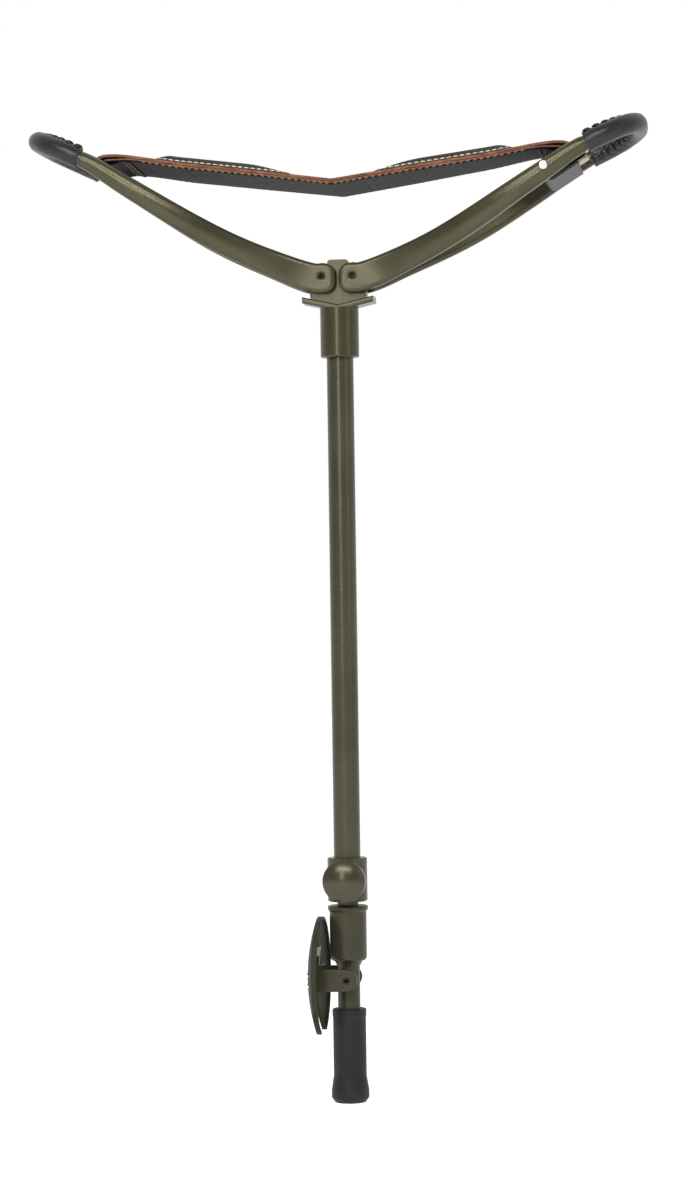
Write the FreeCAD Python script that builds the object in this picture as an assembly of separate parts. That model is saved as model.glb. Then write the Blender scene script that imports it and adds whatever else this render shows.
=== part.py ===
import FreeCAD, Part
import math
import os

# Shooting stick: a telescopic leg with a ferrule and a swinging mud plate,
# and a head with two hinged loop arms that carry a leather sling.
# Origin at the middle of the ferrule's underside, +Z up, arms along X.

V = FreeCAD.Vector

# General fits
running_clearance = 0.05
body_gap = 0.3
seat_gap = 0.02
cut_past = 1.0
pin_recess = 0.6
pin_proud = 0.4
tolerance = 0.01

# Rubber ferrule
ferrule_height = 77.0
ferrule_top_radius = 14.0
ferrule_waist_radius = 13.6
ferrule_flare_radius = 15.5
ferrule_flare_z = 10.0
ferrule_flare_run = 12.0
ferrule_sole_radius = 12.5
ferrule_sole_bevel = 4.0
ferrule_sole = 9.0
ferrule_band = 5.0
ferrule_band_run = 3.0
ferrule_edge = 1.2
ferrule_disc_radius = 8.0
ferrule_disc_thickness = 1.5

# Spike and foot casting
spike_radius = 5.0
spike_length = 27.0
spike_collar = 9.0
spike_tip_radius = 0.6
spike_stud_radius = 3.5
spike_stud_length = 18.0
shank_radius = 9.2
shank_foot_z = 41.0
shoulder_z = 111.8
socket_wall = 6.45
socket_neck = 4.6
socket_corner = 3.5
socket_top_z = 162.0
socket_rim_proud = 1.4
socket_rim_height = 3.2
socket_rim_run = 1.8
socket_rim_edge = 1.3
socket_depth = 33.0
foot_pin_rise = 9.0

# Mud plate, drawn stowed upright on the left of the shank
pivot_z = 101.5
pivot_pin_radius = 2.6
pivot_pin_bore = 1.6
pivot_boss_radius = 7.0
plate_radius = 49.0
plate_dish = 8.0
plate_thickness = 2.4
plate_lip = 4.0
plate_offset = 25.0
plate_rise = 2.0
slot_side_clearance = 0.7
ear_radius = 9.0
ear_thickness = 3.0
ear_foot_width = 14.0
ear_edge = 1.0
bracket_bridge = 8.0
rivet_radius = 1.8
rivet_head_radius = 3.2
rivet_head_height = 1.2
rivet_head_sink = 0.6
rivet_half_pitch = 4.5

# Telescopic tubes
outer_tube_diameter = 22.0
outer_tube_wall = 1.8
tube_slack = 0.45
inner_tube_wall = 1.5
inner_tube_top_z = 480.0
height_travel = 150.0
glide_flange = 6.0
glide_spigot = 18.0
cross_pin_radius = 2.0

# Clamp collar and knob
collar_wall = 5.4
collar_bottom_z = 165.5
collar_height = 36.0
collar_bush_height = 12.0
collar_edge = 0.8
knob_radius = 17.6
knob_back_radius = 10.0
knob_back_gap = 0.4
knob_back_length = 3.0
knob_rim = 6.5
knob_bevel = 2.0
knob_bevel_run = 1.5
knob_edge = 1.6
knob_dome = 6.0
screw_radius = 4.0
screw_in_knob = 7.0
insert_radius = 6.5
insert_proud = 0.5
screw_end_gap = 0.7
tip_radius = 2.3
tip_length = 1.7
tip_spigot = 5.0
slot_half_width = 2.6
slot_depth = 5.5

# Hub casting
hub_bottom_z = 613.0
hub_socket_height = 41.0
hub_socket_wall = 4.9
hub_tube_depth = 35.0
hub_edge = 1.2
wing_half_width = 29.3
wing_half_depth = 12.5
wing_low_rise = 38.0
wing_thickness = 5.2
wing_rise = 6.5
wing_under_rise = 6.6
wing_edge = 1.8
post_half_thickness = 7.4
post_half_width = 8.6
post_top_rise = 80.3
post_corner = 2.6
post_cheek_radius = 11.5
base_inset = 6.8
base_rise = 5.0

# Arm hinges
hinge_half_span = 12.8
hinge_rise = 66.3
hinge_pin_radius = 2.8
hinge_pin_bore = 1.7
hinge_pin_recess = 0.8
lug_end = 11.4
lug_above = 10.5
lug_below = 13.9
lug_corner = 9.0
lug_edge = 3.0
lug_thickness = 8.0
washer_radius = 7.0
washer_thickness = 0.6

# Arm loop: each station's share of the arm's reach, rise and spread,
# then the height, thickness, outer corner radius and outer crown of the rail there
arm_reach = 192.0
arm_rise = 97.2
arm_spread = 35.2
rail_stations = [
    (0.0208, -0.0165, 0.0000, 24.2, 8.0, 3.2, 0.05),
    (0.0885, 0.0185, 0.0085, 23.8, 8.0, 3.4, 0.15),
    (0.1771, 0.0885, 0.0653, 22.4, 8.4, 3.7, 0.30),
    (0.3438, 0.2305, 0.3267, 20.4, 9.4, 4.3, 0.60),
    (0.5469, 0.4424, 0.7244, 19.2, 10.4, 4.8, 0.80),
    (0.7135, 0.6461, 0.9375, 17.4, 11.2, 5.2, 0.90),
    (0.8698, 0.8436, 0.9943, 15.6, 12.0, 5.6, 0.80),
    (1.0000, 1.0000, 1.0000, 13.0, 12.6, 5.9, 0.40),
]
rail_inner_corner = 3.0
rail_lead = 0.1
grip_slope = 25.0
grip_run = 46.5
grip_bend_radius = 36.0
grip_bar_radius = 6.2
grip_leather = 2.1
grip_start = 2.5
grip_bar_overlap = 0.5
lace_radius = 0.9
lace_length = 7.0
lace_count = 13
lace_inward = 0.6
lace_upward = 0.8

# Sling and its rods
rod_reach_share = 0.9776
rod_rise_share = 0.9517
rod_radius = 2.2
rod_seat_depth = 4.0
leather_thickness = 2.5
sling_drop = 21.3
sling_knee_inset = 45.5
sling_knee_rise = 0.25
sling_half_width = 43.0
sling_end_half_width = 37.0
sling_full_width_share = 0.2993
sling_end_width_share = 0.7880
pad_inner_share = 0.1596
pad_outer_share = 0.7282
pad_inset = 2.0
pad_thickness = 5.5
pad_corner = 12.0
pad_bevel = 8.0
pad_edge_share = 0.5

# Latch plate under the right arm
latch_reach_share = 0.8333
latch_rise_share = 0.8282
latch_pin_radius = 2.6
latch_head_radius = 3.6
latch_head_height = 1.2
latch_head_edge = 0.8
latch_head_gap = 0.1
latch_knuckle_radius = 5.0
latch_half_width = 36.0
latch_slope = 32.0
latch_leaf = 25.6
latch_bend = 7.0
latch_drop = 11.0
latch_thickness = 2.0
latch_clip_length = 8.6
latch_clip_width = 20.0
latch_clip_rise = 1.5

# Sizes that follow from the ones above
outer_radius = outer_tube_diameter / 2
outer_bore = outer_radius - outer_tube_wall
inner_radius = outer_bore - tube_slack
inner_bore = inner_radius - inner_tube_wall
shank_fit_radius = shank_radius + running_clearance
socket_radius = inner_radius + socket_wall
socket_rim_radius = socket_radius + socket_rim_proud
collar_radius = outer_radius + collar_wall
hub_socket_radius = outer_radius + hub_socket_wall
socket_floor_z = socket_top_z - socket_depth
collar_top_z = collar_bottom_z + collar_height
tube_bottom_z = collar_bottom_z + collar_bush_height
knob_z = collar_bottom_z + collar_height / 2
hub_top_z = hub_bottom_z + hub_socket_height
wing_low_z = hub_bottom_z + wing_low_rise
post_top_z = hub_bottom_z + post_top_rise
hinge_z = hub_bottom_z + hinge_rise
tube_top_z = hub_bottom_z + hub_tube_depth
lug_inner_y = post_half_thickness + washer_thickness + 2 * seat_gap
lug_middle_y = lug_inner_y + lug_thickness / 2
lug_outer_y = lug_inner_y + lug_thickness
ear_inner_y = ferrule_flare_radius + slot_side_clearance
ear_outer_y = ear_inner_y + ear_thickness
plate_slot_radius = ferrule_flare_radius + slot_side_clearance
dish_radius = (plate_radius ** 2 + plate_dish ** 2) / (2 * plate_dish)
plate_z = pivot_z + plate_rise
plate_pole_x = -plate_offset - plate_dish
rod_x = hinge_half_span + arm_reach * rod_reach_share
rod_z = hinge_z + arm_rise * rod_rise_share
latch_pin_x = hinge_half_span + arm_reach * latch_reach_share
latch_pin_z = hinge_z + arm_rise * latch_rise_share
sling_low_z = rod_z - sling_drop
sling_knee_reach = rod_x - sling_knee_inset
sling_knee_z = rod_z + sling_knee_rise
sling_full_width_reach = rod_x * sling_full_width_share
sling_end_width_reach = rod_x * sling_end_width_share
pad_inner_reach = rod_x * pad_inner_share
pad_outer_reach = rod_x * pad_outer_share
sling_top_z = sling_low_z + 2 * leather_thickness
sling_loop_radius = rod_radius + body_gap + leather_thickness
sling_slope = (sling_knee_z - sling_low_z) / sling_knee_reach
insert_face_y = -collar_radius - insert_proud
knob_back_y = insert_face_y - knob_back_gap
screw_end_y = -inner_radius - screw_end_gap


def cylinder_z(radius, low, high):
    return Part.makeCylinder(radius, high - low, V(0, 0, low))


def cylinder_y(radius, near, far, x, z):
    return Part.makeCylinder(radius, far - near, V(x, near, z), V(0, 1, 0))


def tube_z(outside, inside, low, high):
    return cylinder_z(outside, low, high).cut(cylinder_z(inside, low - cut_past, high + cut_past))


def polygon_face(points):
    return Part.Face(Part.makePolygon(points + [points[0]]))


def prism_y(outline, near, far):
    """Solid between two Y planes from an outline of (x, z) points."""
    face = polygon_face([V(x, near, z) for x, z in outline])
    return face.extrude(V(0, far - near, 0))


def lathe_z(outline):
    """Solid turned about Z from an outline of (radius, z) points."""
    face = polygon_face([V(r, 0, z) for r, z in outline])
    return face.revolve(V(0, 0, 0), V(0, 0, 1), 360)


def mirrored_x(shape):
    return shape.mirror(V(0, 0, 0), V(1, 0, 0))


def mirrored_y(shape):
    return shape.mirror(V(0, 0, 0), V(0, 1, 0))


def edges_at(shape, test):
    return [e for e in shape.Edges if test(e.BoundBox)]


def cross_pin(radius, reach, z):
    return Part.makeCylinder(radius, 2 * reach, V(-reach, 0, z), V(1, 0, 0))


def write(name, shape):
    shape.exportStep("parts/" + name + ".step")


def make_ferrule():
    top = ferrule_height
    flare_end = ferrule_flare_z + ferrule_flare_run
    band_low = top - ferrule_band
    body = lathe_z([
        (0, 0), (ferrule_sole_radius, 0), (ferrule_flare_radius, ferrule_sole_bevel),
        (ferrule_flare_radius, ferrule_flare_z), (ferrule_waist_radius, flare_end),
        (ferrule_waist_radius, band_low - ferrule_band_run), (ferrule_top_radius, band_low),
        (ferrule_top_radius, top), (0, top),
    ])
    rings = edges_at(body, lambda box: box.ZLength < tolerance and box.XLength > ferrule_sole_radius)
    body = body.makeFillet(ferrule_edge, rings)
    cavity = cylinder_z(shank_fit_radius, shank_foot_z - body_gap, top + cut_past)
    pocket = cylinder_z(ferrule_disc_radius, ferrule_sole, shank_foot_z)
    return body.cut(cavity).cut(pocket)


def make_ferrule_disc():
    return cylinder_z(ferrule_disc_radius - seat_gap, ferrule_sole, ferrule_sole + ferrule_disc_thickness)


def make_spike():
    shoulder = shank_foot_z
    point_z = shoulder - spike_length
    stud = cylinder_z(spike_stud_radius, shoulder, shoulder + spike_stud_length)
    point = lathe_z([
        (0, point_z), (spike_tip_radius, point_z), (spike_radius, shoulder - spike_collar),
        (spike_radius, shoulder), (0, shoulder),
    ])
    return stud.fuse(point).removeSplitter()


def make_foot_casting():
    corner_z = shoulder_z + socket_neck
    body_low = corner_z + socket_corner
    corner_x = socket_radius - socket_corner
    rim_low = socket_top_z - socket_rim_height
    outline = [
        V(0, 0, shank_foot_z), V(shank_radius, 0, shank_foot_z), V(shank_radius, 0, shoulder_z),
        V(corner_x, 0, corner_z),
    ]
    slant = socket_corner * math.sqrt(0.5)
    bend = V(corner_x + slant, 0, body_low - slant)
    shoulder = Part.Arc(outline[-1], bend, V(socket_radius, 0, body_low)).toShape()
    upper = [
        V(socket_radius, 0, body_low), V(socket_radius, 0, rim_low - socket_rim_run),
        V(socket_rim_radius, 0, rim_low), V(socket_rim_radius, 0, socket_top_z),
        V(0, 0, socket_top_z), outline[0],
    ]
    straight = Part.makePolygon(outline).Edges + Part.makePolygon(upper).Edges
    wire = Part.Wire(Part.__sortEdges__(straight + [shoulder]))
    body = Part.Face(wire).revolve(V(0, 0, 0), V(0, 0, 1), 360)
    wide = 2 * (socket_rim_radius - tolerance)
    rims = edges_at(body, lambda box: box.XLength > wide and box.ZLength < tolerance)
    body = body.makeFillet(socket_rim_edge, rims)
    boss_y = ear_inner_y - body_gap
    boss = cylinder_y(pivot_boss_radius, -boss_y, boss_y, 0, pivot_z)
    body = body.fuse(boss).removeSplitter()
    body = body.cut(cylinder_z(inner_radius + seat_gap, socket_floor_z, socket_top_z + cut_past))
    stud_top = shank_foot_z + spike_stud_length + cut_past
    body = body.cut(cylinder_z(spike_stud_radius + seat_gap, shank_foot_z - cut_past, stud_top))
    body = body.cut(cylinder_y(pivot_pin_radius + seat_gap, -ear_inner_y, ear_inner_y, 0, pivot_z))
    return body.cut(foot_pin_shape(seat_gap))


def foot_pin_shape(extra):
    reach = socket_radius - pin_recess
    return cross_pin(cross_pin_radius + extra, reach + extra, socket_floor_z + foot_pin_rise)


def guide_slot():
    """Cut for the screw's nose over the whole height travel."""
    low = knob_z
    high = knob_z + height_travel
    radius = slot_half_width
    near = -inner_radius - cut_past
    back = near + slot_depth
    straight = Part.makeBox(2 * radius, back - near, high - low, V(-radius, near, low))
    ends = [cylinder_y(radius, near, back, 0, z) for z in (low, high)]
    return straight.fuse(ends[0]).fuse(ends[1])


def make_inner_tube():
    tube = tube_z(inner_radius, inner_bore, socket_floor_z + seat_gap, inner_tube_top_z)
    return tube.cut(guide_slot()).cut(foot_pin_shape(seat_gap))


def make_glide_bush():
    flange = cylinder_z(outer_bore - running_clearance, inner_tube_top_z, inner_tube_top_z + glide_flange)
    spigot = cylinder_z(inner_bore - seat_gap, inner_tube_top_z - glide_spigot, inner_tube_top_z)
    low = inner_tube_top_z - glide_spigot - cut_past
    hole = cylinder_z(inner_bore / 2, low, inner_tube_top_z + glide_flange + cut_past)
    return flange.fuse(spigot).cut(hole).removeSplitter()


def dish_ball(radius):
    """Ball whose left skin is a face of the dished mud plate."""
    return Part.makeSphere(radius, V(plate_pole_x + dish_radius, 0, plate_z))


def plate_slot():
    radius = plate_slot_radius
    low = plate_z - plate_radius - cut_past
    far = plate_offset + plate_dish + cut_past
    box = Part.makeBox(far, 2 * radius, pivot_z - low, V(-far, -radius, low))
    end = Part.makeCylinder(radius, far, V(-far, 0, pivot_z), V(1, 0, 0))
    return box.fuse(end)


def make_mud_plate():
    pole = V(plate_pole_x, 0, plate_z)
    depth = plate_dish + plate_lip
    drum = Part.makeCylinder(plate_radius, depth, pole, V(1, 0, 0))
    hollow = Part.makeCylinder(plate_radius - plate_thickness, depth, pole, V(1, 0, 0))
    skin = dish_ball(dish_radius).cut(dish_ball(dish_radius - plate_thickness)).common(drum)
    lip_low = Part.makeCylinder(plate_radius, plate_lip, V(-plate_offset, 0, plate_z), V(1, 0, 0))
    lip = drum.cut(hollow).common(lip_low.fuse(dish_ball(dish_radius)))
    plate = skin.fuse(lip).removeSplitter().cut(plate_slot())
    for hole in plate_rivet_shafts(seat_gap):
        plate = plate.cut(hole)
    return plate


def plate_rivet_places():
    y = ear_outer_y + ear_foot_width / 2
    return [(side * y, pivot_z + dz) for side in (-1, 1) for dz in (-rivet_half_pitch, rivet_half_pitch)]


def skin_x(y, z):
    """Outer face of the plate above a point of its disc."""
    offset = math.hypot(y, z - plate_z)
    return plate_pole_x + dish_radius - math.sqrt(dish_radius ** 2 - offset ** 2)


def plate_rivet_shafts(extra):
    length = 2 * (plate_thickness + cut_past)
    return [
        Part.makeCylinder(rivet_radius + extra, length, V(skin_x(y, z) - cut_past, y, z), V(1, 0, 0))
        for y, z in plate_rivet_places()
    ]


def make_plate_rivets():
    rivets = []
    for y, z in plate_rivet_places():
        outer = skin_x(y, z)
        grip = 2 * plate_thickness
        shaft = Part.makeCylinder(rivet_radius, grip, V(outer, y, z), V(1, 0, 0))
        for start, way in ((outer + rivet_head_sink, -1), (outer + grip - rivet_head_sink, 1)):
            head = Part.makeCylinder(rivet_head_radius, rivet_head_height, V(start, y, z), V(way, 0, 0))
            shaft = shaft.fuse(head)
        skins = dish_ball(dish_radius).cut(dish_ball(dish_radius - 2 * plate_thickness))
        heads = shaft.cut(skins)
        core = Part.makeCylinder(rivet_radius, grip, V(outer, y, z), V(1, 0, 0)).common(skins)
        rivets.append(heads.fuse(core).removeSplitter())
    return Part.makeCompound(rivets)


def make_plate_bracket():
    inner = dish_ball(dish_radius - plate_thickness - seat_gap)
    pad = inner.cut(dish_ball(dish_radius - 2 * plate_thickness))
    depth = plate_dish + 2 * plate_thickness + cut_past
    height = 2 * ear_radius
    ear_low = pivot_z - ear_radius
    bridge_low = pivot_z + plate_slot_radius + cut_past

    def flat(y, z, width, tall):
        return Part.makeBox(depth, width, tall, V(plate_pole_x - cut_past, y, z)).common(pad)

    pieces = [flat(-ear_outer_y, bridge_low, 2 * ear_outer_y, bracket_bridge)]
    for side in (-1, 1):
        near = min(side * ear_inner_y, side * ear_outer_y)
        ear = Part.makeBox(-plate_pole_x, ear_thickness, height, V(plate_pole_x, near, ear_low))
        ear = ear.fuse(cylinder_y(ear_radius, near, near + ear_thickness, 0, pivot_z)).removeSplitter()
        outside = side * ear_outer_y
        rim = edges_at(ear, lambda box: abs(box.Center.y - outside) < tolerance
                       and box.XMax > tolerance - ear_radius)
        ear = ear.makeFillet(ear_edge, rim).common(inner)
        foot_y = min(side * ear_inner_y, side * (ear_outer_y + ear_foot_width))
        foot = flat(foot_y, ear_low, ear_thickness + ear_foot_width, height)
        riser = flat(near, pivot_z, ear_thickness, bridge_low + bracket_bridge - pivot_z)
        pieces += [ear, foot, riser]
    bracket = pieces[0].fuse(pieces[1:]).removeSplitter()
    bore = pivot_pin_radius + running_clearance
    bracket = bracket.cut(cylinder_y(bore, -ear_outer_y, ear_outer_y, 0, pivot_z))
    for hole in plate_rivet_shafts(seat_gap):
        bracket = bracket.cut(hole)
    return bracket


def make_plate_pin():
    reach = ear_outer_y + pin_proud
    pin = cylinder_y(pivot_pin_radius, -reach, reach, 0, pivot_z)
    return pin.cut(cylinder_y(pivot_pin_bore, -reach - cut_past, reach + cut_past, 0, pivot_z))


def make_outer_tube():
    tube = tube_z(outer_radius, outer_bore, tube_bottom_z + seat_gap, tube_top_z)
    tube = tube.cut(cylinder_y(screw_radius + body_gap, -outer_radius - cut_past, 0, 0, knob_z))
    return tube.cut(hub_pin_shape(seat_gap))


def make_collar():
    body = cylinder_z(collar_radius, collar_bottom_z, collar_top_z)
    rims = edges_at(body, lambda box: box.ZLength < tolerance)
    body = body.makeChamfer(collar_edge, rims)
    body = body.cut(cylinder_z(outer_radius + seat_gap, collar_bottom_z - cut_past, collar_top_z + cut_past))
    return body.cut(cylinder_y(insert_radius + seat_gap, insert_face_y, 0, 0, knob_z))


def make_tube_bush():
    return tube_z(outer_radius, inner_radius + running_clearance, collar_bottom_z, tube_bottom_z)


def make_collar_insert():
    body = cylinder_y(insert_radius, insert_face_y, 0, 0, knob_z)
    body = body.cut(cylinder_z(outer_radius + 2 * seat_gap, collar_bottom_z, collar_top_z))
    return body.cut(cylinder_y(screw_radius + running_clearance, insert_face_y - cut_past, 0, 0, knob_z))


def make_knob():
    back = knob_back_y
    rim_back = back - knob_back_length
    rim_front = rim_back - knob_rim
    apex = rim_front - knob_dome
    bevel_radius = knob_radius - knob_bevel
    bevel_y = rim_back - knob_bevel_run
    profile = [
        Part.makeLine(V(0, back, 0), V(knob_back_radius, back, 0)),
        Part.makeLine(V(knob_back_radius, back, 0), V(bevel_radius, rim_back, 0)),
        Part.makeLine(V(bevel_radius, rim_back, 0), V(knob_radius, bevel_y, 0)),
        Part.makeLine(V(knob_radius, bevel_y, 0), V(knob_radius, rim_front, 0)),
    ]
    sphere = (knob_radius ** 2 + knob_dome ** 2) / (2 * knob_dome)
    half = knob_radius / 2
    middle_y = apex + sphere - math.sqrt(sphere ** 2 - half ** 2)
    profile.append(Part.Arc(V(knob_radius, rim_front, 0), V(half, middle_y, 0), V(0, apex, 0)).toShape())
    profile.append(Part.makeLine(V(0, apex, 0), V(0, back, 0)))
    body = Part.Face(Part.Wire(profile)).revolve(V(0, 0, 0), V(0, 1, 0), 360)
    edge = edges_at(body, lambda box: abs(box.YMin - rim_front) < tolerance and box.YLength < tolerance)
    body = body.makeFillet(knob_edge, edge)
    body.translate(V(0, 0, knob_z))
    return body.cut(cylinder_y(screw_radius + seat_gap, back - screw_in_knob, back + cut_past, 0, knob_z))


def make_knob_screw():
    body = cylinder_y(screw_radius, knob_back_y - screw_in_knob, screw_end_y, 0, knob_z)
    return body.cut(cylinder_y(tip_radius / 2 + seat_gap, screw_end_y - tip_spigot, 0, 0, knob_z))


def make_screw_tip():
    end = screw_end_y
    nose = cylinder_y(tip_radius, end, end + tip_length, 0, knob_z)
    return nose.fuse(cylinder_y(tip_radius / 2, end - tip_spigot, end, 0, knob_z)).removeSplitter()


def hub_pin_shape(extra):
    z = hub_bottom_z + hub_tube_depth / 2
    return cross_pin(cross_pin_radius + extra, hub_socket_radius - pin_recess + extra, z)


def make_hub():
    socket = cylinder_z(hub_socket_radius, hub_bottom_z, hub_top_z)
    low_rim = edges_at(socket, lambda box: abs(box.ZMax - hub_bottom_z) < tolerance)
    socket = socket.makeFillet(hub_edge, low_rim)
    end_low = wing_low_z + wing_under_rise
    end_high = wing_low_z + wing_thickness + wing_rise
    wings = prism_y([
        (0, wing_low_z), (wing_half_width, end_low), (wing_half_width, end_high),
        (0, wing_low_z + wing_thickness), (-wing_half_width, end_high), (-wing_half_width, end_low),
    ], -wing_half_depth, wing_half_depth)
    long = wing_half_width - tolerance
    long_edges = edges_at(wings, lambda box: box.YLength < tolerance and box.XLength > long)
    wings = wings.makeFillet(wing_edge, long_edges)
    near, far = -post_half_thickness, post_half_thickness
    post = prism_y([
        (-post_half_width, wing_low_z), (post_half_width, wing_low_z),
        (post_half_width, post_top_z), (-post_half_width, post_top_z),
    ], near, far)
    tops = edges_at(post, lambda box: box.YLength > far and box.ZMin > post_top_z - tolerance)
    post = post.makeFillet(post_corner, tops)
    cheeks = [cylinder_y(post_cheek_radius, near, far, side * hinge_half_span, hinge_z) for side in (-1, 1)]
    base_half, base_low = wing_half_width - base_inset, wing_low_z + base_rise
    cheek_x = hinge_half_span + post_cheek_radius
    base = prism_y([
        (-base_half, base_low), (base_half, base_low), (cheek_x, hinge_z), (-cheek_x, hinge_z),
    ], near, far)
    hub = socket.fuse([wings, post, base] + cheeks).removeSplitter()
    hub = hub.cut(cylinder_z(outer_radius + seat_gap, hub_bottom_z - cut_past, tube_top_z + seat_gap))
    for x in (-hinge_half_span, hinge_half_span):
        hub = hub.cut(cylinder_y(hinge_pin_radius + seat_gap, 2 * near, 2 * far, x, hinge_z))
    return hub.cut(hub_pin_shape(seat_gap))


def make_hinge_pin(side):
    reach = lug_outer_y - hinge_pin_recess
    x = side * hinge_half_span
    pin = cylinder_y(hinge_pin_radius, -reach, reach, x, hinge_z)
    return pin.cut(cylinder_y(hinge_pin_bore, -lug_outer_y, lug_outer_y, x, hinge_z))


def make_hinge_washers():
    rings = []
    for side in (-1, 1):
        for front in (-1, 1):
            start = front * (post_half_thickness + seat_gap)
            near, far = sorted((start, start + front * washer_thickness))
            x = side * hinge_half_span
            ring = cylinder_y(washer_radius, near, far, x, hinge_z)
            bore = hinge_pin_radius + running_clearance
            rings.append(ring.cut(cylinder_y(bore, near - cut_past, far + cut_past, x, hinge_z)))
    return Part.makeCompound(rings)


def rail_place(station):
    reach, rise, spread = station[:3]
    y = -lug_middle_y - spread * arm_spread
    return V(hinge_half_span + reach * arm_reach, y, hinge_z + rise * arm_rise)


def rail_section(place, along, height, thickness, outer_corner, crown):
    """Rounded section across the rail, its long side upright and its outer face crowned."""
    along.normalize()
    across = V(0, 1, 0) - along * along.y
    across.normalize()
    upward = along.cross(across)
    half_h, half_t = height / 2, thickness / 2

    def at(a, u):
        return place + across * a + upward * u

    def corner(side, level, r):
        """Points of one rounded corner: on the upright side, in the middle, on the flat."""
        short = r * (1 - math.sqrt(0.5))
        return [
            at(side * half_t, level * (half_h - r)),
            at(side * (half_t - short), level * (half_h - short)),
            at(side * (half_t - r), level * half_h),
        ]

    inner_high, inner_low = corner(1, 1, rail_inner_corner), corner(1, -1, rail_inner_corner)
    outer_high, outer_low = corner(-1, 1, outer_corner), corner(-1, -1, outer_corner)
    return Part.Wire([
        Part.Arc(*inner_high).toShape(),
        Part.makeLine(inner_high[2], outer_high[2]),
        Part.Arc(*reversed(outer_high)).toShape(),
        Part.Arc(outer_high[0], at(-half_t - crown, 0), outer_low[0]).toShape(),
        Part.Arc(*outer_low).toShape(),
        Part.makeLine(outer_low[2], inner_low[2]),
        Part.Arc(*reversed(inner_low)).toShape(),
        Part.makeLine(inner_low[0], inner_high[0]),
    ])


def grip_axes():
    slope = math.radians(grip_slope)
    return V(math.cos(slope), 0, math.sin(slope)), rail_place(rail_stations[-1])


def grip_path(start):
    """U-shaped bar line from one rail's end to the other, in the arm's own plane."""
    along, root = grip_axes()
    half = -root.y
    bend = grip_bend_radius
    knee = grip_run - bend

    def at(s, y):
        return V(root.x, y, root.z) + along * s

    turn = bend * (1 - math.sqrt(0.5))
    edges = [Part.makeLine(at(start, -half), at(knee, -half))]
    flat = half - bend
    near_turn, far_turn = at(grip_run - turn, turn - half), at(grip_run - turn, half - turn)
    edges.append(Part.Arc(at(knee, -half), near_turn, at(grip_run, -flat)).toShape())
    edges.append(Part.makeLine(at(grip_run, -flat), at(grip_run, flat)))
    edges.append(Part.Arc(at(grip_run, flat), far_turn, at(knee, half)).toShape())
    edges.append(Part.makeLine(at(knee, half), at(start, half)))
    return Part.Wire(edges), at(start, -half), along


def grip_bar(radius, start):
    path, first, along = grip_path(start)
    ring = Part.Wire(Part.makeCircle(radius, first, along))
    return path.makePipeShell([ring], True, True)


def make_lug():
    """Rounded end of one rail, round its hinge hole."""
    left = hinge_half_span - lug_end
    right = hinge_half_span + rail_stations[0][0] * arm_reach + lug_edge
    low, high = hinge_z - lug_below, hinge_z + lug_above
    lug = prism_y([(left, low), (right, low), (right, high), (left, high)], -lug_outer_y, -lug_inner_y)
    ends = edges_at(lug, lambda box: box.YLength > tolerance and box.XMax < left + tolerance
                    and box.ZLength < tolerance)
    lug = lug.makeFillet(lug_corner, ends)
    face = edges_at(lug, lambda box: box.YMax < -lug_outer_y + tolerance and box.XMin < right - tolerance)
    return lug.makeFillet(lug_edge, face)


def make_arm():
    places = [rail_place(s) for s in rail_stations]
    sections = []
    for i, station in enumerate(rail_stations):
        ahead = places[min(i + 1, len(places) - 1)]
        behind = places[max(i - 1, 0)]
        along = ahead - behind
        if i == 0:
            along = V(1, 0, rail_lead)
        if i == len(places) - 1:
            along = grip_axes()[0]
        sections.append(rail_section(places[i], along, *station[3:]))
    rail = Part.makeLoft(sections, True, False)
    front = rail.fuse(make_lug())
    rear = mirrored_y(front)
    arm = front.fuse([rear, grip_bar(grip_bar_radius, -grip_bar_overlap)])
    for y in (-1, 1):
        near, far = sorted((y * post_half_thickness, y * (lug_outer_y + cut_past)))
        arm = arm.cut(cylinder_y(hinge_pin_radius + running_clearance, near, far, hinge_half_span, hinge_z))
    return arm.cut(rod_shape(seat_gap))


def rod_half_length():
    return -rail_place(rail_stations[-2]).y - rail_stations[-2][4] / 2 + rod_seat_depth


def rod_shape(extra):
    half = rod_half_length() + extra
    return cylinder_y(rod_radius + extra, -half, half, rod_x, rod_z)


def make_grip():
    sleeve = grip_bar(grip_bar_radius + grip_leather, grip_start)
    return sleeve.cut(grip_bar(grip_bar_radius + seat_gap, grip_start - cut_past))


def make_lacing():
    """Short lace stitches across the sleeve's seam, on the inner upper side of the loop."""
    path, first, along = grip_path(grip_start)
    normal = V(0, -1, 0).cross(along)
    if normal.z < 0:
        normal = normal * -1
    stitches = []
    length = path.Length
    for i in range(lace_count):
        target = length * (i + 0.5) / lace_count
        for edge in path.OrderedEdges:
            if target <= edge.Length:
                break
            target -= edge.Length
        mark = edge.getParameterByLength(target)
        place = edge.valueAt(mark)
        way = edge.tangentAt(mark)
        inward = normal.cross(way)
        centre = V(grip_axes()[1].x, 0, place.z)
        if inward.dot(centre - place) < 0:
            inward = inward * -1
        outward = inward * lace_inward + normal * lace_upward
        outward.normalize()
        across = outward.cross(way)
        base = place + outward * (grip_bar_radius + grip_leather + lace_radius + seat_gap)
        start = base - across * (lace_length / 2)
        stitches.append(Part.makeCylinder(lace_radius, lace_length, start, across))
    return Part.makeCompound(stitches)


def sling_outline():
    """Upright section of the doubled strap, with an end loop round each rod."""
    low = [(-sling_knee_reach, sling_knee_z), (0, sling_low_z), (sling_knee_reach, sling_knee_z)]
    high = [(x, z + 2 * leather_thickness) for x, z in reversed(low)]
    end_high = rod_z + sling_loop_radius
    end_low = end_high - 2 * leather_thickness
    return ([(-rod_x, end_low)] + low + [(rod_x, end_low), (rod_x, end_high)] + high + [(-rod_x, end_high)])


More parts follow.
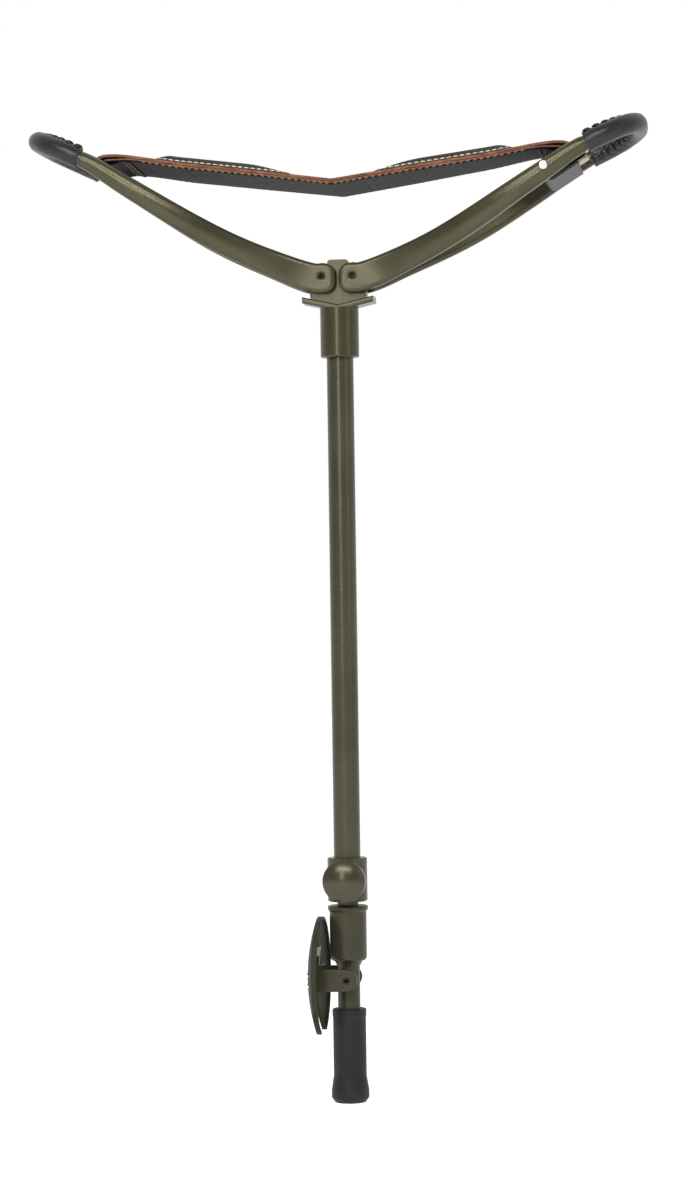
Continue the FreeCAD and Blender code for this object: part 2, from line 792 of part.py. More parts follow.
def sling_plan():
    wide, narrow = sling_half_width, sling_end_half_width
    full, end, tip = sling_full_width_reach, sling_end_width_reach, rod_x + sling_loop_radius + cut_past
    quarter = [(full, wide), (end, narrow), (tip, narrow)]
    front = [(x, -y) for x, y in quarter] + [(x, y) for x, y in reversed(quarter)]
    back = [(-x, y) for x, y in quarter] + [(-x, -y) for x, y in reversed(quarter)]
    return polygon_face([V(x, y, 0) for x, y in front + back])


def make_sling():
    half = sling_half_width
    strap = prism_y(sling_outline(), -half, half)
    for x in (-rod_x, rod_x):
        strap = strap.fuse(cylinder_y(sling_loop_radius, -half, half, x, rod_z))
        strap = strap.cut(cylinder_y(rod_radius + body_gap, -half - cut_past, half + cut_past, x, rod_z))
    plan = sling_plan().extrude(V(0, 0, 2 * sling_knee_z))
    return strap.common(plan).removeSplitter()


def pad_plan():
    """Outline of one pad from above, a little inside the strap's edges."""
    taper = (sling_half_width - sling_end_half_width) / (sling_end_width_reach - sling_full_width_reach)
    wide = sling_half_width - pad_inset
    narrow = wide - taper * (pad_outer_reach - sling_full_width_reach)
    side = [(pad_inner_reach, wide), (sling_full_width_reach, wide), (pad_outer_reach, narrow)]
    points = [(x, -y) for x, y in side] + list(reversed(side))
    return polygon_face([V(x, y, 0) for x, y in points])


def make_pad():
    def above(x, height):
        return x, sling_top_z + sling_slope * x + height

    inner, outer, rise = pad_inner_reach, pad_outer_reach, pad_thickness
    edge = rise * pad_edge_share
    pad = prism_y([
        above(inner, 0), above(outer, 0), above(outer, edge), above(outer - pad_bevel, rise),
        above(inner + pad_bevel, rise), above(inner, edge),
    ], -sling_half_width, sling_half_width)
    pad = pad.common(pad_plan().extrude(V(0, 0, 2 * sling_knee_z)))
    corners = edges_at(pad, lambda box: box.XLength < tolerance and box.YLength < tolerance
                       and (box.XMin < inner + tolerance or box.XMax > outer - tolerance))
    return pad.makeFillet(pad_corner, corners)


def latch_axes():
    slope = math.radians(latch_slope)
    return V(math.cos(slope), 0, math.sin(slope)), V(math.sin(slope), 0, -math.cos(slope))


def latch_bar(start, end, high, low, width):
    """Flat bar of the latch from its front edge, by its run along the leaf and its depth below the pin."""
    along, down = latch_axes()
    pin = V(latch_pin_x, -latch_half_width, latch_pin_z)
    corners = [(start, high), (end, high), (end, low), (start, low)]
    face = polygon_face([pin + along * a + down * d for a, d in corners])
    return face.extrude(V(0, width, 0))


def make_latch_plate():
    half, radius = latch_half_width, latch_knuckle_radius
    leaf_high = latch_drop - latch_thickness / 2
    leaf_low = latch_drop + latch_thickness / 2
    knuckle = cylinder_y(radius, -half, half, latch_pin_x, latch_pin_z)
    leg = latch_bar(-radius, latch_thickness - radius, 0, leaf_low, 2 * half)
    leaf = latch_bar(-radius, latch_leaf, leaf_high, leaf_low, 2 * half)
    plate = knuckle.fuse([leg, leaf]).removeSplitter()
    along, down = latch_axes()
    pin = V(latch_pin_x, 0, latch_pin_z)
    outer = pin - along * radius + down * leaf_low
    inner = pin + along * (latch_thickness - radius) + down * leaf_high
    for corner, bend in ((outer, latch_bend), (inner, latch_bend - latch_thickness)):
        edges = edges_at(plate, lambda box: math.hypot(box.XMax - corner.x, box.ZMax - corner.z) < tolerance
                         and box.XLength < tolerance)
        plate = plate.makeFillet(bend, edges)
    bore = latch_pin_radius + running_clearance
    return plate.cut(cylinder_y(bore, -half - cut_past, half + cut_past, latch_pin_x, latch_pin_z))


def make_latch_clip():
    start = latch_leaf + seat_gap
    end = start + latch_clip_length
    high, low = latch_drop - latch_thickness / 2, latch_drop + latch_thickness / 2
    tongue = latch_bar(start, end, high, low, latch_clip_width)
    lip = latch_bar(end - latch_thickness, end, latch_drop - latch_clip_rise, latch_drop, latch_clip_width)
    return tongue.fuse(lip).removeSplitter()


def latch_pin_half():
    station = rail_stations[-2]
    return -rail_place(station).y + station[4] / 2 + station[6]


def latch_pin_shape(extra):
    half = latch_pin_half() + latch_head_height
    return cylinder_y(latch_pin_radius + extra, -half, half, latch_pin_x, latch_pin_z)


def make_latch_pin():
    half = latch_pin_half() + latch_head_gap
    pin = cylinder_y(latch_pin_radius, -half, half, latch_pin_x, latch_pin_z)
    for y in (-1, 1):
        near, far = sorted((y * half, y * (half + latch_head_height)))
        head = cylinder_y(latch_head_radius, near, far, latch_pin_x, latch_pin_z)
        rims = edges_at(head, lambda box: box.YLength < tolerance and abs(box.YMin) > half + tolerance)
        pin = pin.fuse(head.makeFillet(latch_head_edge, rims))
    return pin.removeSplitter()


def main():
    os.makedirs("parts", exist_ok=True)
    arm = make_arm()
    grip = make_grip()
    rod = rod_shape(0)
    lacing = make_lacing()
    pad = make_pad()
    pieces = {
        "ferrule": make_ferrule(),
        "ferrule_disc": make_ferrule_disc(),
        "spike": make_spike(),
        "foot_casting": make_foot_casting(),
        "foot_pin": foot_pin_shape(0),
        "inner_tube": make_inner_tube(),
        "glide_bush": make_glide_bush(),
        "mud_plate": make_mud_plate(),
        "plate_bracket": make_plate_bracket(),
        "plate_rivets": make_plate_rivets(),
        "plate_pin": make_plate_pin(),
        "outer_tube": make_outer_tube(),
        "collar": make_collar(),
        "tube_bush": make_tube_bush(),
        "collar_insert": make_collar_insert(),
        "knob": make_knob(),
        "knob_screw": make_knob_screw(),
        "screw_tip": make_screw_tip(),
        "hub": make_hub(),
        "hub_pin": hub_pin_shape(0),
        "left_hinge_pin": make_hinge_pin(-1),
        "right_hinge_pin": make_hinge_pin(1),
        "hinge_washers": make_hinge_washers(),
        "left_arm": mirrored_x(arm),
        "right_arm": arm.cut(latch_pin_shape(seat_gap)),
        "left_rod": mirrored_x(rod),
        "right_rod": rod,
        "left_grip": mirrored_x(grip),
        "right_grip": grip,
        "left_lacing": mirrored_x(lacing),
        "right_lacing": lacing,
        "sling": make_sling(),
        "left_pad": mirrored_x(pad),
        "right_pad": pad,
        "latch_plate": make_latch_plate(),
        "latch_clip": make_latch_clip(),
        "latch_pin": make_latch_pin(),
    }
    for name, shape in pieces.items():
        write(name, shape)
        print(name, "solids", len(shape.Solids), "valid", shape.isValid(), "volume %.0f" % shape.Volume)


main()
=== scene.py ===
import math

import bmesh
import bpy
import numpy as np
from mathutils import Matrix, Vector, noise


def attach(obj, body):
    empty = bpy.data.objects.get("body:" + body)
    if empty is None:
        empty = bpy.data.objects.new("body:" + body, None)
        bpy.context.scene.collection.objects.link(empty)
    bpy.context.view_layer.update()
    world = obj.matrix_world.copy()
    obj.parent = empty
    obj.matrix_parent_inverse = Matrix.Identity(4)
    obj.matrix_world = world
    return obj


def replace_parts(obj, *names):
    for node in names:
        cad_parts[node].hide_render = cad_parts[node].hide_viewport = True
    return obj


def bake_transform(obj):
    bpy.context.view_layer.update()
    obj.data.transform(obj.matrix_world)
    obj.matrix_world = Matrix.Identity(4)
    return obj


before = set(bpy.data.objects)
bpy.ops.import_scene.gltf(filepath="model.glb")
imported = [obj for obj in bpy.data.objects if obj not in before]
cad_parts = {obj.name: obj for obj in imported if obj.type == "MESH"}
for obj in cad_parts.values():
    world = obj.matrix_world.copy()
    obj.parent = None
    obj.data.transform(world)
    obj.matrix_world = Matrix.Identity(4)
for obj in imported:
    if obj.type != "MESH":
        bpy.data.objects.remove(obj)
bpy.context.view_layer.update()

MM = 0.001

# Sling, in millimetres
SLING_LOW = 750.5
SLING_SLOPE = 0.139
SLING_LIFT = 1.4
SLING_LIFT_START = 125.0
SLING_LIFT_RUN = 35.0
LAYER = 2.5
WIDE_HALF = 43.0
WIDE_END = 60.0
NARROW_HALF = 37.0
NARROW_START = 158.0
TONGUE_END = 188.0
TURNED_BACK_END = 166.4
FLAP_THIN = 0.3
ROD_REACH = 200.5
CREASE_END = 26.0
FOLD_START = -50.0
FOLD_END = 182.0
CREASE_FOLD_END = CREASE_END * (FOLD_END - FOLD_START) / (CREASE_END - FOLD_START)
STITCH_PITCH = 5.4
STRAIGHT_REACHES = (CREASE_END, 50, 75, 100, 125, 146, 160)
LOOP_POINTS = [(170, 779.4), (180.8, 780.35), (189.4, 779.9), (194.2, 778.0), (199.6, 775.55), (202.5, 775.0),
               (204.1, 773.1), (204.0, 770.5), (202.4, 768.5), (200.0, 767.95), (196.5, 768.9), (192, 770.6),
               (187, 772.2), (180, 773.6)]
FLAP_BEND = 173.0
TONGUE_POINTS = [(170, 776.5), (180, 776.5), (TONGUE_END, 776.1)]
TAN_ROWS = (168.2, 172.4)
TAN_HALF = 34.5
TAN_HOLES = 26
SWAY_LEFT = -0.019
SWAY_RIGHT = 0.012
SWAY_FADE = 166.0
SWAY_FADE_RUN = 26.0

# Seat pads
PAD_INNER = 34.0
PAD_OUTER = 147.0
PAD_CORNER = 9.0
PAD_RIM = 1.1
PAD_RISE = 4.1
PAD_CROWN = 1.2
PAD_FLANGE = 2.0
PAD_SIDE_RUN = 5.5
PAD_OUTER_RUN = 13.0
PAD_INNER_RUN = 38.0
PAD_PUFF = 0.8
PAD_COARSE = 3

# Leather grips, along the loop bar
GRIP_ROOT = Vector((204.8, 0.0, 776.5))
GRIP_HALF = 47.24
GRIP_SLOPE = math.radians(25.0)
GRIP_RUN = 46.5
GRIP_BEND = 36.0
GRIP_START = 2.5
GRIP_BAR = 6.2
SLEEVE = 8.3
LACES = 18
LACE_SWEEP = 1.0
LACE_SLANT = 4.0
LACE_LIFT = 2.0
LACE_SINK = 0.35
LACE_HALF_WIDTH = 2.6
LACE_HALF_DEPTH = 0.95


# Shader sums written as Python expressions
class Tone:
    """A socket of a finish, used in sums and products."""

    def __init__(self, finish, socket):
        self.finish = finish
        self.socket = socket

    def sum(self, operation, other):
        return self.finish.node("ShaderNodeMath", {"operation": operation}, {0: self, 1: other})

    def __add__(self, other):
        return self.sum("ADD", other)

    __radd__ = __add__

    def __sub__(self, other):
        return self.sum("SUBTRACT", other)

    def __mul__(self, other):
        return self.sum("MULTIPLY", other)

    __rmul__ = __mul__


class Finish:
    """A material whose nodes are added one call at a time."""

    def __init__(self, name):
        self.material = bpy.data.materials.new(name)
        self.material.use_nodes = True
        self.tree = self.material.node_tree
        self.tree.nodes.clear()
        self.place = self.node("ShaderNodeTexCoord", out="Object")

    def node(self, kind, settings=None, sockets=None, out=0):
        made = self.tree.nodes.new(kind)
        for key, value in (settings or {}).items():
            if key == "stops":
                ramp = made.color_ramp
                while len(ramp.elements) < len(value):
                    ramp.elements.new(1.0)
                for element, (position, colour) in zip(ramp.elements, value):
                    element.position = position
                    element.color = colour
            else:
                setattr(made, key, value)
        for key, value in (sockets or {}).items():
            if isinstance(value, Tone):
                self.tree.links.new(value.socket, made.inputs[key])
            else:
                made.inputs[key].default_value = value
        return Tone(self, made.outputs[out])

    def stretched(self, x, y, z):
        return self.node("ShaderNodeMapping", None, {"Vector": self.place, "Scale": (x, y, z)})

    def grain(self, scale, detail=3.0, rough=0.55, place=None):
        return self.node("ShaderNodeTexNoise", None, {
            "Vector": place or self.place, "Scale": scale, "Detail": detail, "Roughness": rough}, "Fac")

    def cells(self, scale, feature="F1", place=None):
        return self.node("ShaderNodeTexVoronoi", {"feature": feature}, {
            "Vector": place or self.place, "Scale": scale}, "Distance")

    def ramp(self, value, stops):
        return self.node("ShaderNodeValToRGB", {"stops": stops}, {"Fac": value}, "Color")

    def between(self, share, first, second):
        """Colour part of the way from the first to the second."""
        return self.node("ShaderNodeMix", {"data_type": "RGBA"}, {0: share, 6: first, 7: second}, 2)

    def span(self, value, low, high, to_low, to_high):
        return self.node("ShaderNodeMapRange", None, {0: value, 1: low, 2: high, 3: to_low, 4: to_high})

    def bump(self, height, strength, depth, under=None):
        sockets = {"Height": height, "Strength": strength, "Distance": depth}
        if under:
            sockets["Normal"] = under
        return self.node("ShaderNodeBump", None, sockets)

    def done(self, **sockets):
        named = {key.replace("_", " "): value for key, value in sockets.items()}
        shader = self.node("ShaderNodeBsdfPrincipled", None, named)
        end = self.tree.nodes.new("ShaderNodeOutputMaterial")
        self.tree.links.new(shader.socket, end.inputs["Surface"])
        return self.material


def rgb(r, g, b):
    return (r, g, b, 1.0)


def olive_paint(name, dark, light, streak=(1.0, 1.0, 1.0), rough=0.27, metal=0.4, shine=0.3, arris=0.0012):
    f = Finish(name)
    cloud = f.grain(22.0, 4.0)
    speck = f.grain(1400.0, 2.0)
    rub = f.grain(90.0, 5.0, 0.7, f.stretched(*streak))
    shade = f.span(cloud, 0.35, 0.68, 0.0, 1.0)
    colour = f.between(shade, dark, light)
    scuff = f.span(rub, 0.68, 0.84, 0.0, 0.25)
    colour = f.between(scuff, colour, rgb(0.16, 0.145, 0.10))
    colour = f.between(f.span(speck, 0.62, 0.8, 0.0, 0.25), colour, rgb(0.030, 0.028, 0.014))
    roughness = rough - 0.05 + 0.1 * cloud + 0.1 * scuff
    peel = f.grain(520.0, 2.0, 0.4)
    round_edge = f.node("ShaderNodeBevel", {"samples": 8}, {"Radius": arris})
    normal = f.bump(peel, 0.10, 0.00008, round_edge)
    return f.done(Base_Color=colour, Roughness=roughness, Metallic=metal, Normal=normal,
                  Specular_IOR_Level=shine)


def black_rubber():
    f = Finish("black_rubber")
    cloud = f.grain(60.0, 4.0, 0.6, f.stretched(1.0, 1.0, 0.45))
    pore = f.grain(1800.0, 2.0)
    dust = f.span(f.grain(35.0, 5.0, 0.65), 0.5, 0.75, 0.0, 0.55)
    colour = f.between(dust, rgb(0.013, 0.013, 0.018), rgb(0.036, 0.036, 0.046))
    roughness = 0.42 + 0.3 * cloud
    normal = f.bump(cloud, 0.5, 0.0011, f.bump(pore, 0.12, 0.0001))
    return f.done(Base_Color=colour, Roughness=roughness, Normal=normal, Specular_IOR_Level=0.3)


def bright_steel():
    f = Finish("bright_steel")
    turned = f.grain(900.0, 3.0, 0.6, f.stretched(1.0, 0.06, 1.0))
    spot = f.span(f.grain(160.0, 4.0), 0.55, 0.75, 0.0, 0.4)
    colour = f.between(spot, rgb(0.66, 0.65, 0.62), rgb(0.46, 0.44, 0.40))
    return f.done(Base_Color=colour, Metallic=1.0, Roughness=0.2 + 0.16 * turned,
                  Normal=f.bump(turned, 0.03, 0.00003))


def stippled_grey():
    f = Finish("stippled_grey")
    dot = f.cells(620.0)
    cloud = f.grain(70.0, 4.0)
    colour = f.between(f.span(cloud, 0.35, 0.7, 0.0, 1.0), rgb(0.060, 0.058, 0.056), rgb(0.10, 0.096, 0.092))
    colour = f.between(f.span(dot, 0.1, 0.5, 0.35, 0.0), colour, rgb(0.15, 0.145, 0.14))
    return f.done(Base_Color=colour, Metallic=0.35, Roughness=0.5 + 0.12 * cloud,
                  Normal=f.bump(dot, 0.3, 0.00025), Specular_IOR_Level=0.4)


def pale_brass():
    f = Finish("pale_brass")
    cloud = f.grain(120.0, 4.0)
    brushed = f.grain(700.0, 3.0, 0.6, f.stretched(1.0, 0.08, 1.0))
    colour = f.between(f.span(cloud, 0.4, 0.7, 0.0, 1.0), rgb(0.50, 0.43, 0.29), rgb(0.36, 0.28, 0.17))
    return f.done(Base_Color=colour, Metallic=0.85, Roughness=0.32 + 0.15 * brushed,
                  Normal=f.bump(brushed, 0.08, 0.00005))


def black_nylon():
    f = Finish("black_nylon")
    fine = f.grain(1500.0, 2.0)
    cloud = f.grain(80.0, 3.0)
    colour = f.between(cloud, rgb(0.018, 0.018, 0.018), rgb(0.034, 0.034, 0.033))
    return f.done(Base_Color=colour, Roughness=0.42 + 0.14 * cloud, Normal=f.bump(fine, 0.06, 0.00005))


def hide(name, dark, light, pore_scale, rough, crease, depth, shine):
    """Grained leather: cells between creases, the creases darkened as painted shade, with a worn shine on the
    high ground.
    """
    f = Finish(name)
    warp = f.node("ShaderNodeVectorMath", {"operation": "ADD"}, {
        0: f.place, 1: f.node("ShaderNodeVectorMath", {"operation": "SCALE"}, {
            0: f.node("ShaderNodeTexNoise", None, {"Vector": f.place, "Scale": pore_scale * 0.3}, "Color"),
            "Scale": 0.6 / pore_scale})})
    pebble = f.cells(pore_scale, "DISTANCE_TO_EDGE", warp)
    valley = f.span(pebble, 0.0, 0.16, 0.0, 1.0)
    cloud = f.grain(38.0, 5.0, 0.6)
    fold = f.grain(150.0, 4.0, 0.6, f.stretched(1.0, 1.0, 0.5))
    colour = f.between(f.span(cloud, 0.34, 0.7, 0.0, 1.0), dark, light)
    # Painted shade: the creases between the grain cells are darkened towards near-black.
    colour = f.between(f.span(valley, 0.0, 1.0, 0.45, 0.0), colour, rgb(0.008, 0.008, 0.008))
    roughness = rough + 0.14 * cloud - 0.08 * valley
    normal = f.bump(valley, crease, depth, f.bump(fold, 0.15, 2.0 * depth))
    return f.done(Base_Color=colour, Roughness=roughness, Normal=normal, Specular_IOR_Level=shine)


def raw_edge():
    """Bare cut edge of hide: brown fibre in thin lengthwise layers."""
    f = Finish("raw_edge")
    layer = f.grain(900.0, 4.0, 0.65, f.stretched(0.06, 0.3, 1.0))
    patch = f.grain(85.0, 4.0, 0.6)
    colour = f.ramp(f.span(0.55 * layer + 0.45 * patch, 0.32, 0.68, 0.0, 1.0), [
        (0.0, rgb(0.042, 0.020, 0.012)), (0.45, rgb(0.170, 0.075, 0.044)), (1.0, rgb(0.330, 0.170, 0.105))])
    return f.done(Base_Color=colour, Roughness=0.62 + 0.2 * patch, Normal=f.bump(layer, 0.4, 0.0003),
                  Specular_IOR_Level=0.3)


def flesh_side(name, dark, light):
    f = Finish(name)
    nap = f.grain(1100.0, 4.0, 0.7)
    patch = f.grain(50.0, 4.0)
    colour = f.between(f.span(patch, 0.35, 0.7, 0.0, 1.0), dark, light)
    return f.done(Base_Color=colour, Roughness=0.8 + 0.12 * nap, Normal=f.bump(nap, 0.3, 0.0003),
                  Specular_IOR_Level=0.2)


def thread(name, dark, light, pitch):
    """Twisted thread, its plies running round each stitch."""
    f = Finish(name)
    ply = f.node("ShaderNodeTexWave", {"bands_direction": "DIAGONAL"}, {
        "Vector": f.place, "Scale": pitch, "Distortion": 1.5, "Detail": 2.0}, "Fac")
    fluff = f.grain(800.0, 3.0)
    colour = f.between(f.span(ply, 0.1, 0.9, 0.0, 1.0), dark, light)
    return f.done(Base_Color=colour, Roughness=0.62 + 0.2 * fluff, Normal=f.bump(ply, 0.35, 0.0002),
                  Specular_IOR_Level=0.3)


paint_arm = olive_paint("olive_arm_paint", rgb(0.064, 0.060, 0.034), rgb(0.084, 0.079, 0.047),
                        (1.0, 1.0, 2.2), arris=0.003)
paint_hub = olive_paint("olive_hub_paint", rgb(0.064, 0.060, 0.034), rgb(0.084, 0.079, 0.047),
                        (1.0, 1.0, 0.6))
paint_leg = olive_paint("olive_leg_paint", rgb(0.068, 0.064, 0.042), rgb(0.090, 0.086, 0.058),
                        (2.6, 2.6, 0.12))
paint_foot = olive_paint("olive_foot_paint", rgb(0.046, 0.044, 0.028), rgb(0.062, 0.060, 0.038),
                         (1.6, 1.6, 0.5), 0.36, 0.25)
paint_plate = olive_paint("olive_plate_paint", rgb(0.040, 0.038, 0.025), rgb(0.056, 0.054, 0.036),
                          (1.6, 1.6, 0.5), 0.55, 0.0, 0.08)
# Darker copy of the olive paint on the pins: painted shade standing in for the dark hinge holes.
pin_paint_painted_shade = olive_paint("dark_olive_pin_painted_shade", rgb(0.020, 0.019, 0.012), rgb(0.030, 0.028, 0.018),
                        (1.0, 1.0, 1.0), 0.5, 0.2)
rubber = black_rubber()
steel = bright_steel()
stipple = stippled_grey()
brass = pale_brass()
nylon = black_nylon()
sling_hide = hide("sling_hide", rgb(0.030, 0.030, 0.032), rgb(0.048, 0.047, 0.049),
                  520.0, 0.62, 0.2, 0.0002, 0.06)
# Darker copy of the sling hide: painted shade on the turned-back flap under the loop, and the dark lower
# border of the cut edges.
dark_border_and_painted_shade_hide = hide("dark_border_and_painted_shade_hide", rgb(0.007, 0.007, 0.009), rgb(0.013, 0.013, 0.016),
                 520.0, 0.6, 0.2, 0.0002, 0.06)
pad_hide = hide("pad_hide", rgb(0.034, 0.035, 0.034), rgb(0.056, 0.057, 0.055),
                430.0, 0.55, 0.25, 0.0003, 0.2)
grip_hide = hide("grip_hide", rgb(0.013, 0.013, 0.016), rgb(0.026, 0.026, 0.031),
                 900.0, 0.36, 0.06, 0.00010, 0.4)
lace_hide = hide("lace_hide", rgb(0.010, 0.010, 0.012), rgb(0.020, 0.020, 0.023),
                 1100.0, 0.38, 0.12, 0.0001, 0.4)
edge_hide = raw_edge()
flesh = flesh_side("flesh_side", rgb(0.055, 0.030, 0.020), rgb(0.12, 0.066, 0.042))
# Bare cut leather at the sleeve ends, its pale tone partly a painted highlight along the grip's start edge.
cut_end_and_painted_highlight = flesh_side("pale_cut_end", rgb(0.16, 0.14, 0.10), rgb(0.26, 0.23, 0.17))
white_thread = thread("white_thread", rgb(0.62, 0.58, 0.52), rgb(0.86, 0.84, 0.79), 900.0)
brown_thread = thread("brown_thread", rgb(0.19, 0.085, 0.050), rgb(0.34, 0.175, 0.105), 900.0)
tan_thread = thread("tan_thread", rgb(0.22, 0.185, 0.13), rgb(0.36, 0.31, 0.23), 900.0)

node_finish = {
    paint_arm: ["left_arm", "right_arm"],
    paint_hub: ["hub"],
    paint_leg: ["outer_tube", "collar", "knob", "inner_tube"],
    paint_foot: ["foot_casting", "plate_bracket"],
    paint_plate: ["mud_plate"],
    rubber: ["ferrule"],
    # Pins take the darker olive, painted shade for their holes.
    pin_paint_painted_shade: ["left_hinge_pin", "right_hinge_pin", "plate_pin", "hub_pin", "foot_pin"],
    steel: ["ferrule_disc", "spike", "plate_rivets", "knob_screw", "left_rod", "right_rod", "latch_pin"],
    stipple: ["latch_plate"],
    brass: ["collar_insert", "latch_clip"],
    nylon: ["glide_bush", "tube_bush", "screw_tip", "hinge_washers"],
}
for finish, names in node_finish.items():
    for name in names:
        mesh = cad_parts[name].data
        mesh.materials.clear()
        mesh.materials.append(finish)


def piece(name, verts, faces, finishes, picks=None):
    """New mesh object from points in millimetres, with a finish picked for each face."""
    mesh = bpy.data.meshes.new(name)
    mesh.from_pydata([tuple(c * MM for c in v) for v in verts], [], faces)
    for finish in finishes:
        mesh.materials.append(finish)
    if picks:
        mesh.polygons.foreach_set("material_index", picks)
    mesh.polygons.foreach_set("use_smooth", [True] * len(mesh.polygons))
    mesh.validate()
    mesh.update()
    made = bpy.data.objects.new(name, mesh)
    bpy.context.scene.collection.objects.link(made)
    return made


class Work:
    """Points and faces of a piece as it is put together."""

    def __init__(self):
        self.verts = []
        self.faces = []
        self.picks = []
        self.flat = set()

    def rings(self, rings, pick=lambda i, j: 0, caps=True):
        """Skin over rings of equal count, each a closed loop of points."""
        first = len(self.verts)
        count = len(rings[0])
        for ring in rings:
            self.verts.extend(ring)
        spans = len(rings) - 1
        for i in range(spans):
            a = first + i * count
            b = a + count
            for j in range(count):
                k = (j + 1) % count
                self.faces.append((a + j, a + k, b + k, b + j))
                self.picks.append(pick(i, j))
        if caps:
            self.flat |= {len(self.faces), len(self.faces) + 1}
            self.faces.append(tuple(range(first + count - 1, first - 1, -1)))
            self.picks.append(pick(0, -1))
            last = first + (len(rings) - 1) * count
            self.faces.append(tuple(range(last, last + count)))
            self.picks.append(pick(spans - 1, -1))

    def capsule(self, start, end, radius, lift=0.0, up=Vector((0, 0, 1)), around=8, along=7):
        """Rounded stitch from one hole to the next, arched by lift."""
        axis = end - start
        way = axis.normalized()
        side = way.cross(up).normalized()
        top = side.cross(way)
        rings = []
        for i in range(along):
            t = i / (along - 1)
            swell = math.sqrt(max(0.0, 1 - (2 * t - 1) ** 4)) * 0.9 + 0.1
            centre = start + axis * t + up * (lift * math.sin(math.pi * t))
            rings.append([centre + (side * math.cos(a) + top * math.sin(a)) * radius * swell
                          for a in (2 * math.pi * k / around for k in range(around))])
        self.rings(rings)

    def made(self, name, *finishes):
        made = piece(name, self.verts, self.faces, finishes, self.picks)
        for face in self.flat:
            made.data.polygons[face].use_smooth = False
        fix = bmesh.new()
        fix.from_mesh(made.data)
        bmesh.ops.recalc_face_normals(fix, faces=fix.faces)
        fix.to_mesh(made.data)
        fix.free()
        return made


def smooth_line(points, step):
    """Evenly spaced points on a smooth line through the given ones."""
    points = [Vector(p) for p in points]
    padded = [2 * points[0] - points[1]] + points + [2 * points[-1] - points[-2]]
    dense = []
    for p0, p1, p2, p3 in zip(padded, padded[1:], padded[2:], padded[3:]):
        for k in range(16):
            t = k / 16
            dense.append(0.5 * (2 * p1 + (p2 - p0) * t + (2 * p0 - 5 * p1 + 4 * p2 - p3) * t * t
                                + (3 * p1 - p0 - 3 * p2 + p3) * t ** 3))
    dense.append(points[-1])
    lengths = [0.0]
    for a, b in zip(dense, dense[1:]):
        lengths.append(lengths[-1] + (b - a).length)
    count = max(2, round(lengths[-1] / step))
    line = []
    i = 0
    for k in range(count + 1):
        target = lengths[-1] * k / count
        while i < len(lengths) - 2 and lengths[i + 1] < target:
            i += 1
        share = (target - lengths[i]) / max(lengths[i + 1] - lengths[i], 1e-9)
        line.append(dense[i].lerp(dense[i + 1], min(share, 1.0)))
    return line


def eased(t):
    t = min(max(t, 0.0), 1.0)
    return t * t * (3 - 2 * t)


def half_width(x):
    share = min(max((abs(x) - WIDE_END) / (NARROW_START - WIDE_END), 0.0), 1.0)
    return WIDE_HALF + (NARROW_HALF - WIDE_HALF) * share


def under_z(x):
    return SLING_LOW + SLING_SLOPE * abs(x) + SLING_LIFT * eased((abs(x) - SLING_LIFT_START) / SLING_LIFT_RUN)


def sway(side, x, y):
    """The slack strap hangs a little lower at the back on the left, and higher on the right."""
    share = (y / half_width(x) + 1) / 2
    rise = SWAY_RIGHT if side > 0 else SWAY_LEFT
    return share * rise * x * (1 - eased((x - SWAY_FADE) / SWAY_FADE_RUN))


def strap_layer(work, line, side, upper, flap_from=None):
    """Sweeps one layer of hide along a line of (x, z) points in the sling's upright plane."""
    rings = []
    across = 22
    for i, p in enumerate(line):
        ahead = line[min(i + 1, len(line) - 1)]
        behind = line[max(i - 1, 0)]
        way = (ahead - behind).normalized()
        normal = Vector((-way.y, way.x))
        if p.x < CREASE_END + 0.01:
            normal = Vector((0.0, math.copysign(1.0, way.x)))
        half = half_width(p.x) + 0.35 * noise.noise(Vector((p.x * 0.09, side * 3.0, way.x)))
        thick = LAYER / 2 - 0.04
        if flap_from is not None and i > flap_from:
            thick *= 1 - (1 - FLAP_THIN) * eased((i - flap_from) / (len(line) - 1 - flap_from) * 1.6)
        ring = []

        def add(y, n):
            q = p + normal * n
            ring.append(Vector((side * q.x, y, q.y + sway(side, p.x, y))))

        for k in range(across + 1):
            add(-half + 0.45 + (2 * half - 0.9) * k / across, -thick)
        add(half - 0.12, -thick + 0.18)
        add(half, -thick + 0.6)
        add(half + 0.08, 0.0)
        add(half, thick - 0.6)
        add(half - 0.12, thick - 0.18)
        for k in range(across + 1):
            add(half - 0.45 - (2 * half - 0.9) * k / across, thick)
        add(-half + 0.12, thick - 0.18)
        add(-half, thick - 0.6)
        add(-half - 0.08, 0.0)
        add(-half, -thick + 0.6)
        add(-half + 0.12, -thick + 0.18)
        rings.append(ring)
    upper_start = across + 6
    upper_end = 2 * across + 6
    border = (across, across + 1, across + 2, upper_end + 3, upper_end + 4, upper_end + 5)

    def pick(i, j):
        # The turned-back flap takes the darker hide as painted shade; the lower half of the lower layer's cut
        # edge takes it as its dark border.
        if flap_from is not None and i >= flap_from:
            return 3
        if 0 <= j < across:
            return 2 if upper else 0
        if upper_start <= j < upper_end:
            return 0 if upper else 2
        return 3 if j in border and not upper else 1

    work.rings(rings, pick)


def top_strip():
    """Upper layer: out over the crest, round the rod and turned back underneath."""
    out = [(x, under_z(x) + 1.5 * LAYER) for x in STRAIGHT_REACHES] + LOOP_POINTS
    flap = LAYER * FLAP_THIN / 2 + 0.02
    out += [(x, under_z(x) - flap) for x in (FLAP_BEND, TURNED_BACK_END)]
    return smooth_line([Vector(p) for p in out], 3.0)


def low_strip():
    """Lower layer, ending as a tongue inside the loop."""
    out = [(x, under_z(x) + 0.5 * LAYER) for x in STRAIGHT_REACHES] + TONGUE_POINTS
    return smooth_line([Vector(p) for p in out], 3.0)


